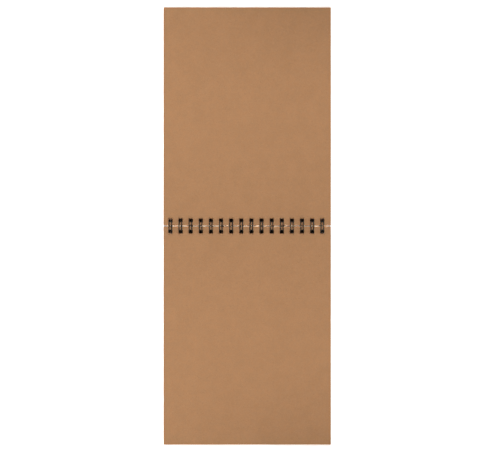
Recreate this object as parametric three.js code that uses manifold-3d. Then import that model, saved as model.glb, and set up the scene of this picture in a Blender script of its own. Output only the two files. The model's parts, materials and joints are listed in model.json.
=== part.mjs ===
// A top-bound sketchbook lying open on a table: a back board, a card cover and loose kraft leaves,
// all hung on one twin-loop binding wire.
// Millimetres. +X runs along the binding, +Y towards the turned half, +Z up.
// The origin is on the table, straight below the middle of the binding.

import * as THREE from 'three';
import { mergeVertices } from 'three/addons/utils/BufferGeometryUtils.js';
import Module from 'manifold-3d';

const wasm = await Module();
wasm.setup();

// The sheets, and the row of square holes punched along each one's bound edge.
const SHEET_WIDTH = 140;
const SHEET_HEIGHT = 182.4;
const HOLE_COUNT = 16;
const HOLE_PITCH = 25.4 / 3;
const HOLE_WIDTH = 3.6;
const HOLE_HEIGHT = 3.2;
const HOLE_INSET = 2.4;
const HOLE_ROW_SHIFT = -0.7;
const SPINE_GAP = 1.25;

// The two stacks. The clearance is the air left between neighbouring sheets.
const LEAVES_IN_EACH_HALF = 15;
const LEAF_THICKNESS = 0.14;
const COVER_THICKNESS = 0.4;
const BOARD_THICKNESS = 1.0;
const SHEET_CLEARANCE = 0.04;
const TOP_LEAF_DROP = 0.15;

// The binding wire. LOOP_RADIUS is the loops' radius at the middle of the wire. SEAM_ANGLE is where the
// loops' tips meet their base, from +Y towards +Z, which hides the seam under the back board.
const LOOP_RADIUS = 5.6;
const WIRE_RADIUS = 0.45;
const LOOP_WIRE_SPACING = 2.26;
const BASE_CORNER_RADIUS = 1.1;
const TIP_CLEARANCE = 0.3;
const END_STUB = 0.9;
const SEAM_ANGLE = THREE.MathUtils.degToRad(240);
const WIRE_SIDES = 5;
const ARC_STEPS = 12;
const TIP_STEPS = 4;
const CORNER_STEPS = 2;

// The loops stand on the table, and every sheet hangs from their common centre line.
const LOOP_CENTRE_HEIGHT = LOOP_RADIUS + WIRE_RADIUS;
const SHEET_REACH = SPINE_GAP / 2 + SHEET_HEIGHT;
const LEAF_STEP = LEAF_THICKNESS + SHEET_CLEARANCE;

const kraftPaper = new THREE.MeshStandardMaterial({ color: 0xb1855f, roughness: 0.9, metalness: 0 });
const kraftCard = new THREE.MeshStandardMaterial({ color: 0xa4784f, roughness: 0.88, metalness: 0 });
const greyBoard = new THREE.MeshStandardMaterial({ color: 0x9a8266, roughness: 0.92, metalness: 0 });
const blackEnamel = new THREE.MeshStandardMaterial({ color: 0x141414, roughness: 0.35, metalness: 0.3 });

function holeCentre(index) {
  return (index - (HOLE_COUNT - 1) / 2) * HOLE_PITCH + HOLE_ROW_SHIFT;
}

function solidOf(geometry) {
  const bare = geometry.clone().deleteAttribute('normal').deleteAttribute('uv');
  const merged = mergeVertices(bare);
  return new wasm.Manifold(
    new wasm.Mesh({
      numProp: 3,
      vertProperties: new Float32Array(merged.attributes.position.array),
      triVerts: new Uint32Array(merged.index.array),
    }),
  );
}

function geometryOf(solid) {
  const mesh = solid.getMesh();
  const geometry = new THREE.BufferGeometry();
  geometry.setAttribute('position', new THREE.BufferAttribute(mesh.vertProperties, 3));
  geometry.setIndex(new THREE.BufferAttribute(mesh.triVerts, 1));
  geometry.computeVertexNormals();
  return geometry;
}

// A box whose near face is a given distance from the loops' centre line. side is +1 for a box towards
// +Y and -1 for one towards -Y.
function block(side, left, width, near, length, thickness) {
  const geometry = new THREE.BoxGeometry(width, length, thickness);
  return geometry.translate(left + width / 2, side * (near + length / 2), 0);
}

// A sheet with its middle plane at z = 0 and the row of holes cut through it.
function punchedGeometry(side, thickness) {
  const near = SPINE_GAP / 2;
  const holeNear = near + HOLE_INSET;
  let sheet = solidOf(block(side, -SHEET_WIDTH / 2, SHEET_WIDTH, near, SHEET_HEIGHT, thickness));
  for (let i = 0; i < HOLE_COUNT; i += 1) {
    const left = holeCentre(i) - HOLE_WIDTH / 2;
    const hole = solidOf(block(side, left, HOLE_WIDTH, holeNear, HOLE_HEIGHT, 2 * thickness));
    sheet = sheet.subtract(hole);
  }
  return geometryOf(sheet);
}

// depth is how far the sheet's middle plane lies below the loops' centre line.
function placedSheet(name, geometry, material, depth) {
  const sheet = new THREE.Mesh(geometry, material);
  sheet.name = name;
  sheet.position.z = -depth;
  return sheet;
}

// One half of the open book: a stiff base sheet with the leaves on it. The half turns about the loops'
// centre line until the base's far edge meets the table. leafName(i) names the leaf i places from the top.
function stack(side, base, leafName) {
  const half = new THREE.Group();
  const leafGeometry = punchedGeometry(side, LEAF_THICKNESS);
  for (let i = 0; i < LEAVES_IN_EACH_HALF; i += 1) {
    const depth = TOP_LEAF_DROP + i * LEAF_STEP + LEAF_THICKNESS / 2;
    half.add(placedSheet(leafName(i), leafGeometry, kraftPaper, depth));
  }
  const baseGeometry = punchedGeometry(side, base.thickness);
  const baseTop = TOP_LEAF_DROP + LEAVES_IN_EACH_HALF * LEAF_STEP;
  half.add(placedSheet(base.name, baseGeometry, base.material, baseTop + base.thickness / 2));
  half.position.z = LOOP_CENTRE_HEIGHT;
  const drop = LOOP_CENTRE_HEIGHT - baseTop - base.thickness;
  half.rotation.x = -side * Math.asin(drop / SHEET_REACH);
  return half;
}

function twoDigits(number) {
  return String(number).padStart(2, '0');
}

// An arc's points in the unrolled plane, after its first one.
function arcPoints(centreX, centreS, radius, fromDegrees, toDegrees, steps) {
  const points = [];
  for (let i = 1; i <= steps; i += 1) {
    const angle = THREE.MathUtils.degToRad(fromDegrees + ((toDegrees - fromDegrees) * i) / steps);
    points.push(new THREE.Vector2(centreX + radius * Math.cos(angle), centreS + radius * Math.sin(angle)));
  }
  return points;
}

function straightPoints(x, fromS, toS, steps) {
  const points = [];
  for (let i = 1; i <= steps; i += 1) {
    points.push(new THREE.Vector2(x, fromS + ((toS - fromS) * i) / steps));
  }
  return points;
}

// The wire's middle line as if the loops were flattened: x along the binding, s round the loops.
// Each loop is a long finger of two wires with a round tip, and short base stretches join the fingers.
function unrolledWire() {
  const halfSpacing = LOOP_WIRE_SPACING / 2;
  const corner = BASE_CORNER_RADIUS;
  const tipCentre = 2 * Math.PI * LOOP_RADIUS - TIP_CLEARANCE - halfSpacing;
  const cornerOffset = halfSpacing + corner;
  const points = [new THREE.Vector2(holeCentre(0) - cornerOffset - END_STUB, 0)];
  for (let i = 0; i < HOLE_COUNT; i += 1) {
    const x = holeCentre(i);
    points.push(new THREE.Vector2(x - cornerOffset, 0));
    points.push(...arcPoints(x - cornerOffset, corner, corner, -90, 0, CORNER_STEPS));
    points.push(...straightPoints(x - halfSpacing, corner, tipCentre, ARC_STEPS));
    points.push(...arcPoints(x, tipCentre, halfSpacing, 180, 0, TIP_STEPS));
    points.push(...straightPoints(x + halfSpacing, tipCentre, corner, ARC_STEPS));
    points.push(...arcPoints(x + cornerOffset, corner, corner, 180, 270, CORNER_STEPS));
  }
  points.push(new THREE.Vector2(holeCentre(HOLE_COUNT - 1) + cornerOffset + END_STUB, 0));
  return points;
}

// The unrolled line wrapped round the loops' cylinder, starting and ending at the seam.
// Its frames keep one side of the wire's section facing away from the cylinder's axis.
class WrappedCurve extends THREE.Curve {
  constructor(unrolled) {
    super();
    this.angles = unrolled.map((p) => p.y / LOOP_RADIUS + SEAM_ANGLE);
    this.points = unrolled.map((p, i) => {
      const out = this.outward(i).multiplyScalar(LOOP_RADIUS);
      return new THREE.Vector3(p.x, out.y, out.z);
    });
  }

  outward(index) {
    return new THREE.Vector3(0, Math.cos(this.angles[index]), Math.sin(this.angles[index]));
  }

  getSpacedPoints() {
    return this.points;
  }

  computeFrenetFrames() {
    const last = this.points.length - 1;
    const tangents = this.points.map((_, i) => {
      const before = this.points[Math.max(i - 1, 0)];
      const after = this.points[Math.min(i + 1, last)];
      const outward = this.outward(i);
      const along = after.clone().sub(before);
      return along.addScaledVector(outward, -along.dot(outward)).normalize();
    });
    const normals = this.points.map((_, i) => this.outward(i));
    const binormals = tangents.map((tangent, i) => tangent.clone().cross(normals[i]));
    return { tangents, normals, binormals };
  }
}

// A regular polygon with one corner on +X, which the wrapped curve turns away from the loops' axis.
function wireSection() {
  const corners = [];
  for (let i = 0; i < WIRE_SIDES; i += 1) {
    const angle = (2 * Math.PI * i) / WIRE_SIDES;
    corners.push(new THREE.Vector2(WIRE_RADIUS * Math.cos(angle), WIRE_RADIUS * Math.sin(angle)));
  }
  return new THREE.Shape(corners);
}

function twinLoopWire() {
  const path = new WrappedCurve(unrolledWire());
  const settings = { steps: path.points.length - 1, extrudePath: path, bevelEnabled: false };
  const wire = new THREE.Mesh(new THREE.ExtrudeGeometry(wireSection(), settings), blackEnamel);
  wire.name = 'twin_loop_wire';
  wire.position.z = LOOP_CENTRE_HEIGHT;
  return wire;
}

const backBoard = { name: 'back_board', thickness: BOARD_THICKNESS, material: greyBoard };
const frontCover = { name: 'front_cover', thickness: COVER_THICKNESS, material: kraftCard };

// Leaf 01 of the lower half lies on top of its stack, and leaf 01 of the upper half lies on the cover.
const sketchbook = new THREE.Group();
sketchbook.add(stack(-1, backBoard, (i) => `lower_leaf_${twoDigits(i + 1)}`));
sketchbook.add(stack(1, frontCover, (i) => `upper_leaf_${twoDigits(LEAVES_IN_EACH_HALF - i)}`));
sketchbook.add(twinLoopWire());

export default sketchbook;
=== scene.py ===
import json
import math

import bpy
import numpy as np
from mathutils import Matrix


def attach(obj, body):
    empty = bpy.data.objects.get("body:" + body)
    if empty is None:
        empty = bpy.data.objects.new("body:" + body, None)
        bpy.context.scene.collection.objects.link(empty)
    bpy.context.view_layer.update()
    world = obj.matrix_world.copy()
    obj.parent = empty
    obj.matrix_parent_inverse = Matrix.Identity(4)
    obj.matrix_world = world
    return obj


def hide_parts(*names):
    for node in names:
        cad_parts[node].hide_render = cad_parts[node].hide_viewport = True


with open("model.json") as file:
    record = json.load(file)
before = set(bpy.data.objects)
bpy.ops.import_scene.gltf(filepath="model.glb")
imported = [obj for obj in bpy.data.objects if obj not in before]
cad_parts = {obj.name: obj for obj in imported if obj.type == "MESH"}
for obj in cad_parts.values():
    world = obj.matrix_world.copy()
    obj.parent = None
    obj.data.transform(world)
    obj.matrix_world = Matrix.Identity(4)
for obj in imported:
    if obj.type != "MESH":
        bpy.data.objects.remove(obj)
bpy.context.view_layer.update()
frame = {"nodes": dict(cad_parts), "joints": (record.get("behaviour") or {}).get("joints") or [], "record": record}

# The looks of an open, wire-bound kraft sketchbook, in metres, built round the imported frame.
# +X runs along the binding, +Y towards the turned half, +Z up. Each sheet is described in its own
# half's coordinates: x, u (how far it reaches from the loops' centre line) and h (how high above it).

MM = 0.001

# The two halves, by the side of the binding that each lies on: towards -Y and towards +Y.
LOWER, UPPER = -1, 1

# Sheets. The jog is how loosely a sheet hangs on the wire. The lift is how far it rises when it lies
# free: nothing near the wire, more towards the outer edge, more for each leaf higher up, and unevenly.
# The unevenness is a sum of waves, whose numbers are in radians per metre.
HOLE_CORNER_RADIUS = 0.35 * MM
HOLE_MARGIN = 0.6 * MM
RIM_WIDTH = 0.5 * MM
# Painted shade on the cut edges: in full on the hole walls, a tenth of it on the outline.
HOLE_SHADOW = 1.0
OUTLINE_SHADOW = 0.1
JOG = 0.04 * MM
SKEW = 0.0004
LIFT_START = 8.0 * MM
LIFT_POWER = 1.6
LIFT_GROWTH = 1.3
LIFT_UNEVENNESS = 0.7
WAVE_COUNT = 3
WAVE_NUMBERS_X = (10, 45)
WAVE_NUMBERS_U = (-30, 30)
STACK_LIFT = {LOWER: 0.9 * MM, UPPER: 1.1 * MM}
ROWS_PAST_HOLES = 16
BOARD_BEVEL = 0.08 * MM
BEVEL_ANGLE = math.radians(60)
LOWER_SEED = 1
UPPER_SEED = 2

# The binding wire. At the crown its loops lean, close up by the pinch, and differ from one another by
# the tolerance.
WIRE_RADIUS = 0.47 * MM
LOOP_WIRE_SPACING = 2.18 * MM
BASE_CORNER_RADIUS = 1.1 * MM
TIP_CLEARANCE = 0.3 * MM
END_STUB = 0.9 * MM
SEAM_ANGLE = math.radians(240)
LOOP_TOLERANCE = 0.1 * MM
LOOP_LEAN = -0.18 * MM
LOOP_PINCH = 0.09
CROWN_POWER = 6
WIRE_SEED = 16
WIRE_SIDES = 14
ARC_STEPS = 56
TIP_STEPS = 12
CORNER_STEPS = 6

# The picture: how wide the view is at the pages, where its middle is, and how high the pages lie.
LENS = 200.0
SENSOR = 36.0
VIEW_WIDTH = 418.4 * MM
VIEW_CENTRE = (2.33 * MM, 0.8 * MM)
PAGE_LEVEL = 4.5 * MM

# The stage: a floor just under the book, and the gutter card under the binding, with painted light below
# the gap and painted shade below the holes. The floor reflects more than it receives, so that it stays white
# in the book's shadow.
FLOOR_SIZE = 8.0
FLOOR_HEIGHT = -0.04 * MM
OPEN_FLOOR = (1.75, 1.73, 1.71, 1.0)
GUTTER_LENGTH = 136 * MM
GUTTER_WIDTH = 12.8 * MM
GUTTER_HEIGHT = -0.01 * MM
# Painted light below the gap, and painted shade below the holes.
PAINTED_GAP_LIGHT = (6.0, 4.4, 3.1, 1)
PAINTED_HOLE_SHADE = (0.45, 0.43, 0.41, 1)

# The gutter card's parts, its painted light, its painted shade and plain floor, fade into each other between
# two distances, in millimetres: from the binding's middle line to either side, and from its middle towards
# its ends. Round the holes they are in pitches.
GAP_EDGE = (0.75, 1.05)
HOLES_EDGE = (4.5, 6.4)
HOLE_EDGE_IN_PITCHES = (0.24, 0.34)
GUTTER_END = (66.4, 68)

# How bright the room is at each height, from level (0) to straight up (1).
ROOM_BRIGHTNESS = [(0.001, 1.0), (0.1, 1.0), (0.22, 0.28), (0.6, 0.28), (0.8, 0.0), (0.999, 0.0)]

# The lights. Each tilt is the light's angle from the vertical, and each brightness is what the light adds
# to a level white surface. A strip's size is given for a distance of 1, and STRIP_WATTS is the power that
# makes such a surface white from a metre away.
LEFT_TILT = math.radians(48)
LEFT_DISTANCE = 0.6
LEFT_BRIGHTNESS = 0.065
STRIP_SIZE = (0.4, 0.1)
STRIP_SPREAD = math.radians(120)
STRIP_WATTS = 4.21
RIGHT_TILTS = [math.radians(40), math.radians(46), math.radians(52)]
RIGHT_SOFTNESS = math.radians(6)
RIGHT_BRIGHTNESS = 0.095
END_TILT = math.radians(35)
END_SOFTNESS = math.radians(16)
END_BRIGHTNESS = 0.385

# Paper. Its colours are the base, and the warm and the cool tint that cloud it, as they look on a screen.
# Its tones multiply the colour: the clouding gives the middle value, and the others are added to it.
KRAFT_COLOURS = [(173.5, 129, 91), (175.5, 129, 90), (170.5, 129, 93)]
COVER_COLOURS = [(163, 120, 82), (168, 118, 78), (156, 121, 88)]
BOARD_COLOURS = [(150, 127, 100), (156, 128, 98), (142, 125, 104)]
TINTS_PER_MM = 0.35
CLOUDS_PER_MM = 0.11
CLOUD_TONES = (0.965, 1.02)
MOTTLES_PER_MM = 0.8
MOTTLE_TONES = (-0.03, 0.035)
GRAINS_PER_MM = 6.0
GRAIN_TONES = (-0.03, 0.03)
PAINTED_EDGE_SHADE = 0.05
PAPER_ROUGHNESS = (0.82, 0.96)
PAPER_SPECULAR = 0.2
PAPER_RELIEF = 0.02 * MM

# Fibres: each direction, in radians, with how high the noise has to be for a fibre to show. Shives are
# short dark specks, one at most in each cell. Both have sizes in millimetres.
FIBRE_SIZE = (2.6, 0.2, 1.0)
LIGHT_FIBRES = [(0.3, 0.62), (1.9, 0.63)]
DARK_FIBRES = [(1.1, 0.64), (2.7, 0.65)]
PALE_FIBRE = 1.35
DARK_FIBRE = 0.45
SHIVE_CELL = (2.8, 1.7, 2.8)
SHIVE_TURN = 0.7
SHIVE_STRENGTH = 0.6

# Painted shade for the light's falloff: where the sheets are made darker, in millimetres from the middle of
# the binding, and how much darker they are.
CORNER_START = 90
CORNER_REACH = 92
CORNER_DARKENING = (0.04, 0.18)
ACROSS_REACH = 90
ACROSS_DARKENING = 0.04
BINDING_FADE = 100
BINDING_DARKENING = 0.045

# Enamel. A painted highlight lightens the crowns between two heights above the loops' centre line, in
# millimetres; the scuffs take the same lighter colour.
ENAMEL_BLACK = (0.003, 0.0027, 0.0024, 1)
ENAMEL_SCUFFS_AND_SHEEN = (0.042, 0.036, 0.029, 1)
PAINTED_SHEEN_HEIGHTS = (3.9, 5.1)
SCUFF_WEAR = 0.5
ENAMEL_ROUGHNESS = (0.38, 0.6)
ENAMEL_SPECULAR = 0.05
ENAMEL_RELIEF = 0.01 * MM
PEELS_PER_MM = 4.0
SCUFF_SIZE = (0.33, 1.7, 1.7)

mounts = {m["name"]: m for m in frame["record"]["mounts"]}
centre_height = frame["joints"][0]["pos_m"][2]


class Half:
    """One half of the open book. side is LOWER or UPPER."""

    def __init__(self, side, surface_mount):
        normal = mounts[surface_mount]["axis"]
        self.side = side
        self.tilt = math.atan2(side * normal[1], normal[2])

    def to_row(self, x, u, h):
        c, s = math.cos(self.tilt), math.sin(self.tilt)
        y = self.side * (u * c + h * s)
        z = centre_height - u * s + h * c
        return np.stack([x, y, z], axis=-1)

    def from_row(self, points):
        c, s = math.cos(self.tilt), math.sin(self.tilt)
        y, z = self.side * points[:, 1], points[:, 2] - centre_height
        return points[:, 0], y * c - z * s, y * s + z * c


def distinct(values, apart=0.01 * MM):
    """The different values among many, taking those closer than apart as one."""
    ordered = np.sort(values)
    groups = np.split(ordered, np.nonzero(np.diff(ordered) > apart)[0] + 1)
    return [float(g.mean()) for g in groups]


class SheetPlan:
    """A CAD sheet's sizes: its edges, its row of holes, and its lower and upper face."""

    def __init__(self, node, half):
        points = np.array([v.co for v in frame["nodes"][node].data.vertices])
        x, u, h = half.from_row(points)
        self.left, *hole_edges, self.right = distinct(x)
        self.near, self.hole_near, self.hole_far, self.far = distinct(u)
        self.holes = list(zip(hole_edges[0::2], hole_edges[1::2]))
        self.low, self.high = float(h.min()), float(h.max())


# ---------------------------------------------------------------- sheets


def hole_frame_lines(low, high):
    """Five lines across a hole's surround: its outer edges, two inside the hole, and the middle."""
    middle = (low + high) / 2
    quarter = (high - low) / 4
    return [low - HOLE_MARGIN, middle - quarter, middle, middle + quarter, high + HOLE_MARGIN]


def x_lines(plan):
    lines = [plan.left, plan.left + RIM_WIDTH, plan.left + 4 * RIM_WIDTH]
    for i, (low, high) in enumerate(plan.holes):
        if i:
            lines.append((plan.holes[i - 1][1] + low) / 2)
        lines += hole_frame_lines(low, high)
    return lines + [plan.right - 4 * RIM_WIDTH, plan.right - RIM_WIDTH, plan.right]


def u_lines(plan):
    surround = hole_frame_lines(plan.hole_near, plan.hole_far)
    past = np.linspace(surround[-1], plan.far - RIM_WIDTH, ROWS_PAST_HOLES + 1)[1:]
    return [plan.near, plan.near + RIM_WIDTH, *surround, *past, plan.far]


def rounded_hole(left, right, near, far):
    """Sixteen points round a hole with rounded corners, in step with its surround's sixteen points."""
    r = HOLE_CORNER_RADIUS
    middle_x, middle_u = (left + right) / 2, (near + far) / 2
    corners = [
        (left + r, near + r, 180, (middle_x, near)),
        (right - r, near + r, 270, (right, middle_u)),
        (right - r, far - r, 0, (middle_x, far)),
        (left + r, far - r, 90, (left, middle_u)),
    ]
    points = []
    for cx, cu, first, side_middle in corners:
        for degrees in (first, first + 45, first + 90):
            angle = math.radians(degrees)
            points.append((cx + r * math.cos(angle), cu + r * math.sin(angle)))
        points.append(side_middle)
    return points[1:] + points[:1]


def surround_indices(first_column, first_row):
    """The surround's sixteen grid places, from its low corner round to the right."""
    steps = range(4)
    bottom = [(first_column + k, first_row) for k in steps]
    right = [(first_column + 4, first_row + k) for k in steps]
    top = [(first_column + 4 - k, first_row + 4) for k in steps]
    left = [(first_column, first_row + 4 - k) for k in steps]
    return bottom + right + top + left


class FlatSheet:
    """A punched sheet's flat pattern: points, faces, and the loops of its cut edges, the outline last."""

    def __init__(self, plan):
        xs, us = x_lines(plan), u_lines(plan)
        columns, rows = len(xs), len(us)
        index = {}
        self.points, self.faces, self.loops = [], [], []
        row = us.index(plan.hole_near - HOLE_MARGIN)
        surrounds = [xs.index(low - HOLE_MARGIN) for low, _ in plan.holes]
        inside = {(c + i, row + j) for c in surrounds for i in (1, 2, 3) for j in (1, 2, 3)}
        cut = {(c + i, row + j) for c in surrounds for i in range(4) for j in range(4)}
        for j, u in enumerate(us):
            for i, x in enumerate(xs):
                if (i, j) not in inside:
                    index[i, j] = self.add(x, u)
        for j in range(rows - 1):
            for i in range(columns - 1):
                if (i, j) not in cut:
                    corners = [(i, j), (i + 1, j), (i + 1, j + 1), (i, j + 1)]
                    self.faces.append([index[c] for c in corners])
        for (low, high), column in zip(plan.holes, surrounds):
            outer = [index[c] for c in surround_indices(column, row)]
            edge = rounded_hole(low, high, plan.hole_near, plan.hole_far)
            inner = [self.add(x, u) for x, u in edge]
            for k in range(16):
                n = (k + 1) % 16
                self.faces.append([outer[k], outer[n], inner[n], inner[k]])
            self.loops.append(inner[::-1])
        bottom = [index[i, 0] for i in range(columns - 1)]
        right = [index[columns - 1, j] for j in range(rows - 1)]
        top = [index[i, rows - 1] for i in range(columns - 1, 0, -1)]
        left = [index[0, j] for j in range(rows - 1, 0, -1)]
        self.loops.append(bottom + right + top + left)

    def add(self, x, u):
        self.points.append((x, u))
        return len(self.points) - 1


def lift_pattern(rng):
    """How unevenly a sheet rises over the one below: a smooth pattern that is never below 0."""
    waves = []
    for _ in range(WAVE_COUNT):
        kx, ku = rng.uniform(*WAVE_NUMBERS_X), rng.uniform(*WAVE_NUMBERS_U)
        waves.append((kx, ku, rng.uniform(0, math.tau)))

    def pattern(x, u):
        ripple = sum(np.cos(kx * x + ku * u + phase) for kx, ku, phase in waves) / len(waves)
        return 1 + LIFT_UNEVENNESS * ripple

    return pattern


def mesh_object(name, points, faces):
    mesh = bpy.data.meshes.new(name)
    mesh.from_pydata([tuple(p) for p in points], [], faces)
    mesh.validate()
    made = bpy.data.objects.new(name, mesh)
    bpy.context.scene.collection.objects.link(made)
    return made


def sheet_object(name, half, plan, lift, jog):
    """A sheet of real thickness: its flat pattern, shifted and turned by the jog, and raised by the lift."""
    flat = FlatSheet(plan)
    x, u = np.array(flat.points).T
    shift_x, shift_u, skew = jog
    moved_x = x + shift_x + skew * (u - plan.hole_far)
    moved_u = u + shift_u - skew * x
    rise = lift(x, u)
    low = half.to_row(moved_x, moved_u, plan.low + rise)
    high = half.to_row(moved_x, moved_u, plan.high + rise)
    count = len(x)
    up = flat.faces
    down = [[count + i for i in face[::-1]] for face in flat.faces]
    walls, shadow = [], [0.0] * (2 * len(up))
    for loop in flat.loops:
        walls += [[a, count + a, count + b, b] for a, b in zip(loop, loop[1:] + loop[:1])]
        shadow += [OUTLINE_SHADOW if loop is flat.loops[-1] else HOLE_SHADOW] * len(loop)
    faces = up + down + walls
    if half.side == LOWER:
        faces = [face[::-1] for face in faces]
    made = mesh_object(name, np.concatenate([high, low]), faces)
    made.data.attributes.new("shadow", "FLOAT", "FACE").data.foreach_set("value", shadow)
    return made


def finish_sheet(sheet, node, material, bevel=0.0):
    sheet.data.materials.append(material)
    if bevel:
        rounding = sheet.modifiers.new("rounding", "BEVEL")
        rounding.width = bevel
        rounding.segments = 2
        rounding.limit_method = "ANGLE"
        rounding.angle_limit = BEVEL_ANGLE
    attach(sheet, node)
    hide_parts(node)


def flat_lift(x, u):
    return np.zeros_like(x)


def raised(below, share, height, pattern, start, reach):
    """The lift of the next sheet up: what is below it, and its own share of the stack's lift."""

    def lift(x, u):
        along = np.clip((u - start) / reach, 0, None)
        return below(x, u) + share * height * along**LIFT_POWER * pattern(x, u)

    return lift


def build_half(half, base_node, base_material, leaf_nodes, leaf_material, seed):
    """leaf_nodes run from the base upwards."""
    rng = np.random.default_rng(seed)
    base_plan = SheetPlan(base_node, half)
    base = sheet_object(base_node + "_sheet", half, base_plan, flat_lift, (0, 0, 0))
    finish_sheet(base, base_node, base_material, BOARD_BEVEL)
    weights = np.arange(1, len(leaf_nodes) + 1) ** LIFT_GROWTH
    shares = weights / weights.sum()
    lift = flat_lift
    for node, share in zip(leaf_nodes, shares):
        plan = SheetPlan(node, half)
        reach = plan.far - LIFT_START
        lift = raised(lift, share, STACK_LIFT[half.side], lift_pattern(rng), LIFT_START, reach)
        jog = (rng.uniform(-JOG, JOG), rng.uniform(-JOG, JOG), rng.uniform(-SKEW, SKEW))
        leaf = sheet_object(node + "_sheet", half, plan, lift, jog)
        finish_sheet(leaf, node, leaf_material)


# ---------------------------------------------------------------- binding wire


def arc(cx, cs, radius, first, last, steps):
    angles = np.radians(np.linspace(first, last, steps + 1)[1:])
    return np.stack([cx + radius * np.cos(angles), cs + radius * np.sin(angles)], axis=-1)


def straight(x, first, last, steps):
    s = np.linspace(first, last, steps + 1)[1:]
    return np.stack([np.full(steps, x), s], axis=-1)


def unrolled_wire(centres, radius):
    """The wire's middle line with the loops flattened, and each point's loop number."""
    half_spacing = LOOP_WIRE_SPACING / 2
    corner = BASE_CORNER_RADIUS
    offset = half_spacing + corner
    tip = math.tau * radius - TIP_CLEARANCE - half_spacing
    rows, loops = [np.array([[centres[0] - offset - END_STUB, 0.0]])], [0]
    for number, x in enumerate(centres):
        finger = [
            np.array([[x - offset, 0.0]]),
            arc(x - offset, corner, corner, -90, 0, CORNER_STEPS),
            straight(x - half_spacing, corner, tip, ARC_STEPS),
            arc(x, tip, half_spacing, 180, 0, TIP_STEPS),
            straight(x + half_spacing, tip, corner, ARC_STEPS),
            arc(x + offset, corner, corner, 180, 270, CORNER_STEPS),
        ]
        rows += finger
        loops += [number] * sum(len(part) for part in finger)
    rows.append(np.array([[centres[-1] + offset + END_STUB, 0.0]]))
    return np.concatenate(rows), np.array(loops + [len(centres) - 1])


def wrapped_wire(centres, radius, rng):
    """The middle line wrapped round the loops, which lean and swell a little, and its outward directions."""
    line, loops = unrolled_wire(centres, radius)
    middle = np.array(centres)[loops]
    lean = LOOP_LEAN + rng.uniform(-LOOP_TOLERANCE, LOOP_TOLERANCE, len(centres))[loops] / 2
    swell = rng.uniform(-LOOP_TOLERANCE, LOOP_TOLERANCE, len(centres))[loops]
    angle = SEAM_ANGLE + line[:, 1] / radius
    crown = np.clip(np.sin(angle), 0, None) ** CROWN_POWER
    out = np.stack([np.zeros_like(angle), np.cos(angle), np.sin(angle)], axis=-1)
    points = out * (radius + swell * crown)[:, None]
    points[:, 0] += line[:, 0] + (lean - LOOP_PINCH * (line[:, 0] - middle)) * crown
    points[:, 2] += centre_height
    return points, out


def swept_tube(name, points, out, radius, sides):
    """A closed tube round a line of points. out is the outward direction at each one."""
    along = np.gradient(points, axis=0)
    along /= np.linalg.norm(along, axis=1)[:, None]
    out = out - (out * along).sum(1)[:, None] * along
    out /= np.linalg.norm(out, axis=1)[:, None]
    across = np.cross(along, out)
    turn = np.linspace(0, math.tau, sides, endpoint=False)
    ring = out[:, None] * np.cos(turn)[None, :, None] + across[:, None] * np.sin(turn)[None, :, None]
    vertices = (points[:, None] + radius * ring).reshape(-1, 3)
    faces = [list(range(sides))[::-1]]
    for k in range(len(points) - 1):
        for i in range(sides):
            n = (i + 1) % sides
            faces.append([k * sides + i, k * sides + n, (k + 1) * sides + n, (k + 1) * sides + i])
    faces.append([(len(points) - 1) * sides + i for i in range(sides)])
    return mesh_object(name, vertices, faces)


def build_wire(centres, material):
    radius = centre_height - WIRE_RADIUS
    points, out = wrapped_wire(centres, radius, np.random.default_rng(WIRE_SEED))
    wire = swept_tube("binding_wire", points, out, WIRE_RADIUS, WIRE_SIDES)
    wire.data.polygons.foreach_set("use_smooth", [len(p.vertices) == 4 for p in wire.data.polygons])
    wire.data.materials.append(material)
    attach(wire, "twin_loop_wire")
    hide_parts("twin_loop_wire")


# ---------------------------------------------------------------- materials


class Nodes:
    """A material's node tree, with short calls for the nodes that the materials share."""

    def __init__(self, name):
        self.material = bpy.data.materials.new(name)
        self.material.use_nodes = True
        self.tree = self.material.node_tree
        self.shader = self.tree.nodes["Principled BSDF"]

    def add(self, kind, inputs=None, **settings):
        node = self.tree.nodes.new(kind)
        for key, value in settings.items():
            setattr(node, key, value)
        for key, value in (inputs or {}).items():
            self.put(value, node.inputs[key])
        return node

    def put(self, value, socket):
        if isinstance(value, bpy.types.NodeSocket):
            self.tree.links.new(value, socket)
        else:
            socket.default_value = value

    def millimetres(self, size=(1, 1, 1), turn=0.0):
        """The piece's own coordinates, turned about Z. size is how many millimetres make one unit."""
        place = self.add("ShaderNodeTexCoord").outputs["Object"]
        inputs = {"Vector": place, "Rotation": (0, 0, turn), "Scale": [k * MM for k in size]}
        return self.add("ShaderNodeMapping", inputs, vector_type="TEXTURE").outputs["Vector"]

    def noise(self, vector, scale, detail=2.0, roughness=0.5, distortion=0.0):
        inputs = {"Vector": vector, "Scale": scale, "Detail": detail, "Roughness": roughness}
        inputs["Distortion"] = distortion
        return self.add("ShaderNodeTexNoise", inputs).outputs["Fac"]

    def spread(self, value, low, high, to_low=0.0, to_high=1.0):
        inputs = {"Value": value, "From Min": low, "From Max": high, "To Min": to_low, "To Max": to_high}
        return self.add("ShaderNodeMapRange", inputs, interpolation_type="SMOOTHSTEP").outputs["Result"]

    def maths(self, operation, a, b):
        node = self.add("ShaderNodeMath", operation=operation)
        self.put(a, node.inputs[0])
        self.put(b, node.inputs[1])
        return node.outputs[0]

    def mixed(self, factor, a, b, blend="MIX"):
        node = self.add("ShaderNodeMix", data_type="RGBA", blend_type=blend)
        self.put(factor, node.inputs["Factor"])
        self.put(a, node.inputs[6])
        self.put(b, node.inputs[7])
        return node.outputs[2]

    def bump(self, height, strength, distance):
        inputs = {"Height": height, "Strength": strength, "Distance": distance}
        return self.add("ShaderNodeBump", inputs).outputs["Normal"]


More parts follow.
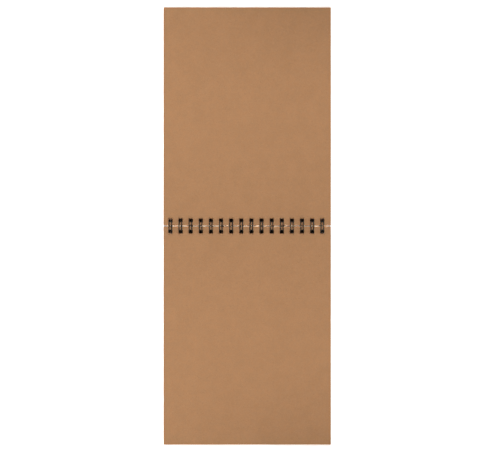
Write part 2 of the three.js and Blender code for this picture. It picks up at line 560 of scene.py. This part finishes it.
def colour(red, green, blue):
    """A colour given as it looks on a screen, 0 to 255, as the linear values that a shader takes."""
    screen = np.array([red, green, blue]) / 255
    linear = np.where(screen <= 0.04045, screen / 12.92, ((screen + 0.055) / 1.055) ** 2.4)
    return (*[float(c) for c in linear], 1.0)


def fibre_mask(nodes, turn, low):
    """Thin streaks in one direction, as paper fibres are."""
    vector = nodes.millimetres(FIBRE_SIZE, turn)
    return nodes.spread(nodes.noise(vector, 1.0, 1.0, distortion=0.4), low, low + 0.08)


def fibres(nodes, directions):
    first, second = [fibre_mask(nodes, turn, low) for turn, low in directions]
    return nodes.maths("MAXIMUM", first, second)


def painted_shade_tone(nodes):
    """Painted shade for the light's falloff: darker near the binding, to the right, and in the outer corners."""
    split = nodes.add("ShaderNodeSeparateXYZ", {"Vector": nodes.millimetres()})
    reach = nodes.maths("ABSOLUTE", split.outputs["Y"], 0.0)
    past_start = nodes.maths("SUBTRACT", reach, CORNER_START)
    outward = nodes.maths("MAXIMUM", nodes.maths("DIVIDE", past_start, CORNER_REACH), 0.0)
    rightward = nodes.spread(split.outputs["X"], -ACROSS_REACH, ACROSS_REACH, *CORNER_DARKENING)
    corner = nodes.maths("MULTIPLY", nodes.maths("POWER", outward, 2.0), rightward)
    across = nodes.spread(split.outputs["X"], -ACROSS_REACH, ACROSS_REACH, 0.0, ACROSS_DARKENING)
    binding = nodes.spread(reach, 0, BINDING_FADE, BINDING_DARKENING, 0.0)
    return nodes.maths("ADD", nodes.maths("ADD", corner, across), binding)


def times(base, factor):
    """A colour made lighter or darker."""
    return (*[min(1.0, c * factor) for c in base[:3]], 1.0)


def paper_material(name, colours, fibre_strength, shive_size):
    """Unbleached paper: cloudy, flecked with fibres and small shives, with painted shade on its cut edges."""
    base, warm, cool = [colour(*screen) for screen in colours]
    nodes = Nodes(name)
    place = nodes.millimetres()
    cloud = nodes.noise(place, CLOUDS_PER_MM, 4.0, 0.55)
    mottle = nodes.noise(place, MOTTLES_PER_MM, 3.0, 0.6)
    grain = nodes.noise(place, GRAINS_PER_MM, 2.0, 0.6)
    coolness = nodes.spread(nodes.noise(place, TINTS_PER_MM, 2.0), 0.35, 0.65)
    surface = nodes.mixed(0.5, base, nodes.mixed(coolness, warm, cool))
    value = nodes.spread(cloud, 0.3, 0.7, *CLOUD_TONES)
    value = nodes.maths("ADD", value, nodes.spread(mottle, 0.25, 0.75, *MOTTLE_TONES))
    value = nodes.maths("ADD", value, nodes.spread(grain, 0.3, 0.7, *GRAIN_TONES))
    # Painted shade where the light falls off.
    value = nodes.maths("SUBTRACT", value, painted_shade_tone(nodes))
    shade = nodes.add("ShaderNodeCombineColor", {"Red": value, "Green": value, "Blue": value})
    surface = nodes.mixed(1.0, surface, shade.outputs["Color"], "MULTIPLY")
    light_fibres, dark_fibres = fibres(nodes, LIGHT_FIBRES), fibres(nodes, DARK_FIBRES)
    pale, dark = times(base, PALE_FIBRE), times(base, DARK_FIBRE)
    surface = nodes.mixed(nodes.maths("MULTIPLY", light_fibres, fibre_strength), surface, pale)
    surface = nodes.mixed(nodes.maths("MULTIPLY", dark_fibres, fibre_strength), surface, dark)
    cells = nodes.millimetres(SHIVE_CELL, SHIVE_TURN)
    shives = nodes.add("ShaderNodeTexVoronoi", {"Vector": cells, "Scale": 1.0})
    shive = nodes.spread(shives.outputs["Distance"], shive_size, shive_size * 0.4)
    chosen = nodes.add("ShaderNodeSeparateColor", {"Color": shives.outputs["Color"]}).outputs["Red"]
    shive = nodes.maths("MULTIPLY", shive, nodes.spread(chosen, 0.55, 0.6))
    surface = nodes.mixed(nodes.maths("MULTIPLY", shive, SHIVE_STRENGTH), surface, dark)
    # Painted shade on the cut edges: the hole walls nearly black, the outline a little darker.
    shadow = nodes.add("ShaderNodeAttribute", attribute_name="shadow").outputs["Fac"]
    surface = nodes.mixed(shadow, surface, times(base, PAINTED_EDGE_SHADE))
    nodes.put(surface, nodes.shader.inputs["Base Color"])
    nodes.put(nodes.spread(mottle, 0.3, 0.7, *PAPER_ROUGHNESS), nodes.shader.inputs["Roughness"])
    nodes.put(PAPER_SPECULAR, nodes.shader.inputs["Specular IOR Level"])
    relief = nodes.maths("ADD", nodes.maths("MULTIPLY", light_fibres, 0.6), grain)
    relief = nodes.maths("ADD", relief, nodes.maths("MULTIPLY", mottle, 0.8))
    nodes.put(nodes.bump(relief, 0.35, PAPER_RELIEF), nodes.shader.inputs["Normal"])
    return nodes.material


def enamel_material():
    """Black enamelled steel wire: a fine orange-peel, duller scuffs, and a painted highlight on the crowns."""
    nodes = Nodes("black_enamel")
    place = nodes.millimetres()
    peel = nodes.noise(place, PEELS_PER_MM, 2.0)
    scuffs = nodes.spread(nodes.noise(nodes.millimetres(SCUFF_SIZE), 1.0, 3.0, 0.6), 0.6, 0.72)
    height = nodes.add("ShaderNodeSeparateXYZ", {"Vector": place}).outputs["Z"]
    first, full = [centre_height / MM + above for above in PAINTED_SHEEN_HEIGHTS]
    # A painted highlight on the crowns, mixed with the real wear of the scuffs.
    painted_sheen = nodes.spread(height, first, full)
    scuffs_and_sheen = nodes.maths("MAXIMUM", painted_sheen, nodes.maths("MULTIPLY", scuffs, SCUFF_WEAR))
    surface = nodes.mixed(scuffs_and_sheen, ENAMEL_BLACK, ENAMEL_SCUFFS_AND_SHEEN)
    nodes.put(surface, nodes.shader.inputs["Base Color"])
    nodes.put(nodes.spread(scuffs, 0, 1, *ENAMEL_ROUGHNESS), nodes.shader.inputs["Roughness"])
    nodes.put(ENAMEL_SPECULAR, nodes.shader.inputs["Specular IOR Level"])
    nodes.put(nodes.bump(peel, 0.25, ENAMEL_RELIEF), nodes.shader.inputs["Normal"])
    return nodes.material


def matt_material(nodes, surface):
    """Ends a material in plain matt paint of the colour given by surface."""
    diffuse = nodes.add("ShaderNodeBsdfDiffuse", {"Color": surface, "Roughness": 1.0})
    output = nodes.tree.nodes["Material Output"]
    nodes.tree.nodes.remove(nodes.shader)
    nodes.put(diffuse.outputs["BSDF"], output.inputs["Surface"])
    return nodes.material


def floor_material():
    """A bright white backdrop that reflects enough to stay white beside the book."""
    nodes = Nodes("backdrop_white")
    cloud = nodes.noise(nodes.millimetres(), 0.02, 2.0)
    return matt_material(nodes, nodes.mixed(cloud, OPEN_FLOOR, tuple(0.98 * c for c in OPEN_FLOOR)))


def painted_gutter_material(centres):
    """The gutter card: painted warm light below the gap, painted shade below the holes, elsewhere the floor."""
    nodes = Nodes("painted_gutter_card")
    split = nodes.add("ShaderNodeSeparateXYZ", {"Vector": nodes.millimetres()})
    along = nodes.maths("ABSOLUTE", split.outputs["X"], 0.0)
    aside = nodes.maths("ABSOLUTE", split.outputs["Y"], 0.0)
    from_first = nodes.maths("SUBTRACT", split.outputs["X"], centres[0] / MM)
    pitches = nodes.maths("DIVIDE", from_first, (centres[1] - centres[0]) / MM)
    # Painted shade only below the holes, under each loop; between the loops and beyond the holes, plain floor.
    between = nodes.spread(nodes.maths("PINGPONG", pitches, 0.5), *HOLE_EDGE_IN_PITCHES)
    beyond = nodes.maths("MAXIMUM", nodes.spread(aside, *HOLES_EDGE), between)
    with_painted_shade = nodes.mixed(beyond, PAINTED_HOLE_SHADE, OPEN_FLOOR)
    # Painted light below the gap.
    middle = nodes.mixed(nodes.spread(aside, *GAP_EDGE), PAINTED_GAP_LIGHT, with_painted_shade)
    return matt_material(nodes, nodes.mixed(nodes.spread(along, *GUTTER_END), middle, OPEN_FLOOR))


# ---------------------------------------------------------------- stage


def stage_sheet(name, length, width, height, material):
    x, y = length / 2, width / 2
    corners = [(-x, -y, height), (x, -y, height), (x, y, height), (-x, y, height)]
    sheet = mesh_object(name, corners, [[0, 1, 2, 3]])
    sheet.data.materials.append(material)


def hang(name, light, azimuth, tilt, distance):
    """Aims a light at the binding. tilt is its angle from the vertical."""
    made = bpy.data.objects.new(name, light)
    towards = [math.sin(tilt) * math.cos(azimuth), math.sin(tilt) * math.sin(azimuth), math.cos(tilt)]
    made.location = distance * np.array(towards)
    made.rotation_euler = (0, tilt, azimuth)
    made.visible_camera = False
    bpy.context.scene.collection.objects.link(made)


def far_light(name, azimuth, tilt, softness, brightness):
    """A light too far off to fade across the book. brightness is what it adds to a level white surface."""
    light = bpy.data.lights.new(name, "SUN")
    light.energy = math.pi * brightness / math.cos(tilt)
    light.angle = softness
    hang(name, light, azimuth, tilt, 1.0)


def near_strip(name, azimuth, tilt, distance, brightness):
    """A strip light near the book, which fades across it, its length pointing up and away."""
    light = bpy.data.lights.new(name, "AREA")
    light.shape = "RECTANGLE"
    light.size = STRIP_SIZE[0] * distance
    light.size_y = STRIP_SIZE[1] * distance
    light.spread = STRIP_SPREAD
    light.energy = STRIP_WATTS * distance**2 * brightness / math.cos(tilt)
    hang(name, light, azimuth, tilt, distance)


def build_light():
    """Soft light from all four sides, in a room with a white wall and a dark ceiling."""
    world = bpy.data.worlds.new("studio")
    world.use_nodes = True
    tree = world.node_tree
    place = tree.nodes.new("ShaderNodeTexCoord")
    split = tree.nodes.new("ShaderNodeSeparateXYZ")
    room = tree.nodes.new("ShaderNodeValToRGB")
    stops = room.color_ramp.elements
    for height, brightness in ROOM_BRIGHTNESS:
        stop = stops.new(height)
        stop.color = (brightness, brightness, brightness, 1)
    stops.remove(stops[0])
    stops.remove(stops[-1])
    tree.links.new(place.outputs["Generated"], split.inputs["Vector"])
    tree.links.new(split.outputs["Z"], room.inputs["Fac"])
    tree.links.new(room.outputs["Color"], tree.nodes["Background"].inputs["Color"])
    bpy.context.scene.world = world
    near_strip("left_strip", math.pi, LEFT_TILT, LEFT_DISTANCE, LEFT_BRIGHTNESS)
    share = RIGHT_BRIGHTNESS / len(RIGHT_TILTS)
    for number, tilt in enumerate(RIGHT_TILTS):
        far_light(f"right_light_{number}", 0, tilt, RIGHT_SOFTNESS, share)
    far_light("far_light", math.pi / 2, END_TILT, END_SOFTNESS, END_BRIGHTNESS)
    far_light("near_light", -math.pi / 2, END_TILT, END_SOFTNESS, END_BRIGHTNESS)


def build_camera():
    data = bpy.data.cameras.new("camera")
    data.lens = LENS
    data.sensor_width = SENSOR
    data.clip_start = 0.05
    data.clip_end = 50
    camera = bpy.data.objects.new("camera", data)
    distance = VIEW_WIDTH * LENS / SENSOR
    camera.location = (*VIEW_CENTRE, PAGE_LEVEL + distance)
    bpy.context.scene.collection.objects.link(camera)
    bpy.context.scene.camera = camera
    bpy.context.scene.view_settings.view_transform = "Standard"


build_camera()
build_light()
stage_sheet("backdrop_floor", FLOOR_SIZE, FLOOR_SIZE, FLOOR_HEIGHT, floor_material())

kraft = paper_material("kraft_paper", KRAFT_COLOURS, fibre_strength=0.22, shive_size=0.12)
cover = paper_material("kraft_card", COVER_COLOURS, fibre_strength=0.35, shive_size=0.15)
board = paper_material("binders_board", BOARD_COLOURS, fibre_strength=0.5, shive_size=0.2)

lower_half = Half(LOWER, "lower_drawing_surface")
upper_half = Half(UPPER, "upper_drawing_surface")
leaves = sorted(n for n in frame["nodes"] if "_leaf_" in n)
lower_leaves = [n for n in leaves if n.startswith("lower")][::-1]
upper_leaves = [n for n in leaves if n.startswith("upper")]
build_half(lower_half, "back_board", board, lower_leaves, kraft, LOWER_SEED)
build_half(upper_half, "front_cover", cover, upper_leaves, kraft, UPPER_SEED)

loop_centres = [(low + high) / 2 for low, high in SheetPlan("back_board", lower_half).holes]
build_wire(loop_centres, enamel_material())
# The gutter card under the binding, with painted light below the gap and painted shade below the holes.
stage_sheet("painted_gutter_card", GUTTER_LENGTH, GUTTER_WIDTH, GUTTER_HEIGHT, painted_gutter_material(loop_centres))
